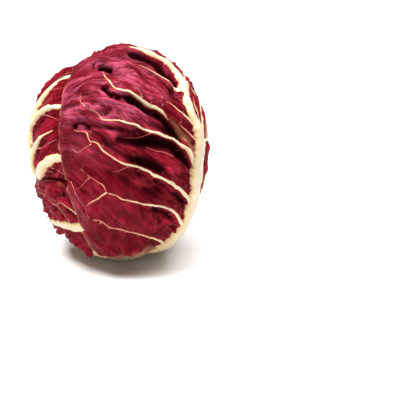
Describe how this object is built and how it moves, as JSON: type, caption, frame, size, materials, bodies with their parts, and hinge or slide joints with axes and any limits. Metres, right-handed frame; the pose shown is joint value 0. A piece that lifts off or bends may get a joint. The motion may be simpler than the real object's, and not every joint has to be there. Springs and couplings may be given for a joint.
{
  "type": "radicchio head",
  "caption": "Whole round head of red radicchio: overlapping wine-red wrapper leaves with cream midribs and side ribs, closed over a tight heart on a short cut stem.",
  "frame": {"origin": "centre of the cut end of the stem, on the surface that the head stands on", "axes": "+Z from the cut stem up through the crown, -Y towards the side seen in the picture, +X to that view's right"},
  "size_m": [0.1115, 0.1121, 0.1345],
  "materials": {
    "wrapper_blade": "waxy satin leaf",
    "inner_blade": "waxy satin leaf",
    "heart_leaves": "waxy satin leaf",
    "rib": "smooth moist rib",
    "stem": "cut stem"
  },
  "bodies": {
    "root": {"stem": "stem", "heart": "heart_leaves", "inner_left_leaf": "inner_blade", "inner_right_leaf": "inner_blade", "left_leaf": "wrapper_blade", "back_leaf": "wrapper_blade", "low_right_leaf": "wrapper_blade", "low_left_leaf": "wrapper_blade", "front_leaf": "wrapper_blade", "left_leaf_ribs": "rib", "back_leaf_ribs": "rib", "low_right_leaf_ribs": "rib", "low_left_leaf_ribs": "rib", "front_leaf_ribs": "rib"}
  },
  "joints": []
}
